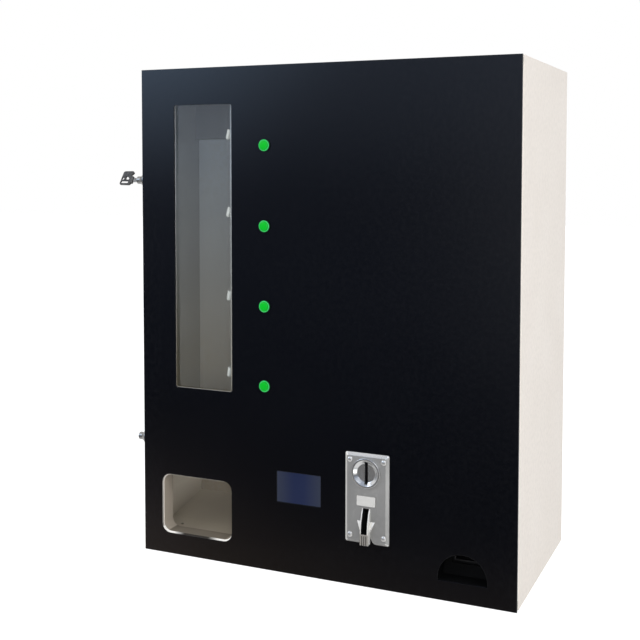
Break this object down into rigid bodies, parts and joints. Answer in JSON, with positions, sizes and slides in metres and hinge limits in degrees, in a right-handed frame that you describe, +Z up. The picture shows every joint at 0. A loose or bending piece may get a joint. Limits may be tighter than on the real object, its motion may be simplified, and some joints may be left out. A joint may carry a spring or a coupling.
{
  "type": "snack vending machine",
  "caption": "Compact coin-operated snack vending machine with a hinged black front, a window over the drop shaft, selection buttons, motor-driven spirals and a pick-up bin.",
  "frame": {"origin": "centre of the cabinet's base, on the surface that it stands on", "axes": "+X to the right along the front, +Y from the front to the back, +Z up; the front face looks along -Y"},
  "size_m": [0.6225, 0.314, 0.73],
  "materials": {
    "pale_paint": "satin",
    "inner_sheet": "satin",
    "dark_sheet": "satin",
    "black_front": "gloss",
    "clear_pane": "clear",
    "display_tint": "gloss",
    "green_cap": "gloss",
    "green_ring": "gloss",
    "black_plastic": "matte",
    "white_plastic": "satin",
    "cast_plate": "satin",
    "chrome_trim": "polished",
    "plain_steel": "brushed",
    "circuit_board": "satin",
    "supply_case": "satin"
  },
  "bodies": {
    "cabinet": {"cabinet_wrap": "pale_paint", "back_panel": "pale_paint", "back_liner": "inner_sheet", "upper_cover": "dark_sheet", "motor_plate": "inner_sheet", "tray_post": "pale_paint", "tray_1": "inner_sheet", "tray_2": "inner_sheet", "tray_3": "inner_sheet", "tray_4": "inner_sheet", "pickup_bin": "inner_sheet", "cash_box": "inner_sheet", "change_hopper": "black_plastic", "control_board": "circuit_board", "power_supply": "supply_case", "power_inlet": "black_plastic", "hinge_leaf_cabinet": "pale_paint", "hinge_pin": "plain_steel", "gear_motor_1": "white_plastic", "gear_motor_2": "white_plastic", "gear_motor_3": "white_plastic", "gear_motor_4": "white_plastic"},
    "door": {"fascia": "black_front", "door_pan": "pale_paint", "window_pane": "clear_pane", "display_module": "display_tint", "change_cup": "black_plastic", "hinge_leaf_door": "pale_paint", "button_body_1": "green_ring", "button_body_2": "green_ring", "button_body_3": "green_ring", "button_body_4": "green_ring", "coin_faceplate": "cast_plate", "coin_bezel": "chrome_trim", "coin_mech": "black_plastic", "lock_body_upper": "chrome_trim", "lock_body_lower": "chrome_trim"},
    "button_1": {"button_cap_1": "green_cap"},
    "button_2": {"button_cap_2": "green_cap"},
    "button_3": {"button_cap_3": "green_cap"},
    "button_4": {"button_cap_4": "green_cap"},
    "coin_return": {"coin_return_button": "white_plastic"},
    "upper_lock": {"lock_plug_upper": "cast_plate", "lock_cam_upper": "plain_steel", "key_blade": "plain_steel", "key_bow": "black_plastic"},
    "lower_lock": {"lock_plug_lower": "cast_plate", "lock_cam_lower": "plain_steel"},
    "drive_1": {"spiral_1": "plain_steel", "spiral_tip_1": "white_plastic", "spiral_hub_1": "white_plastic"},
    "drive_2": {"spiral_2": "plain_steel", "spiral_tip_2": "white_plastic", "spiral_hub_2": "white_plastic"},
    "drive_3": {"spiral_3": "plain_steel", "spiral_tip_3": "white_plastic", "spiral_hub_3": "white_plastic"},
    "drive_4": {"spiral_4": "plain_steel", "spiral_tip_4": "white_plastic", "spiral_hub_4": "white_plastic"}
  },
  "joints": [
    {"name": "door_swing", "type": "hinge", "parent": "cabinet", "child": "door", "pos_m": [0.285, -0.1441, 0.365], "axis": [0, 0, 1], "range_deg": [0, 95]},
    {"name": "button_1_press", "type": "slide", "parent": "door", "child": "button_1", "axis": [0, 1, 0], "range_m": [0, 0.003], "stiffness_N_per_m": 300, "springref_m": -0.003},
    {"name": "button_2_press", "type": "slide", "parent": "door", "child": "button_2", "axis": [0, 1, 0], "range_m": [0, 0.003], "stiffness_N_per_m": 300, "springref_m": -0.003},
    {"name": "button_3_press", "type": "slide", "parent": "door", "child": "button_3", "axis": [0, 1, 0], "range_m": [0, 0.003], "stiffness_N_per_m": 300, "springref_m": -0.003},
    {"name": "button_4_press", "type": "slide", "parent": "door", "child": "button_4", "axis": [0, 1, 0], "range_m": [0, 0.003], "stiffness_N_per_m": 300, "springref_m": -0.003},
    {"name": "coin_return_press", "type": "slide", "parent": "door", "child": "coin_return", "axis": [0, 1, 0], "range_m": [0, 0.003], "stiffness_N_per_m": 300, "springref_m": -0.003},
    {"name": "upper_lock_turn", "type": "hinge", "parent": "door", "child": "upper_lock", "pos_m": [-0.2875, -0.136, 0.565], "axis": [1, 0, 0], "range_deg": [0, 90]},
    {"name": "lower_lock_turn", "type": "hinge", "parent": "door", "child": "lower_lock", "pos_m": [-0.2875, -0.136, 0.171], "axis": [1, 0, 0], "range_deg": [0, 90]},
    {"name": "spiral_1_turn", "type": "hinge", "parent": "cabinet", "child": "drive_1", "pos_m": [0, -0.066, 0.6305], "axis": [1, 0, 0], "continuous": true},
    {"name": "spiral_2_turn", "type": "hinge", "parent": "cabinet", "child": "drive_2", "pos_m": [0, -0.066, 0.515], "axis": [1, 0, 0], "continuous": true},
    {"name": "spiral_3_turn", "type": "hinge", "parent": "cabinet", "child": "drive_3", "pos_m": [0, -0.066, 0.3995], "axis": [1, 0, 0], "continuous": true},
    {"name": "spiral_4_turn", "type": "hinge", "parent": "cabinet", "child": "drive_4", "pos_m": [0, -0.066, 0.284], "axis": [1, 0, 0], "continuous": true}
  ]
}
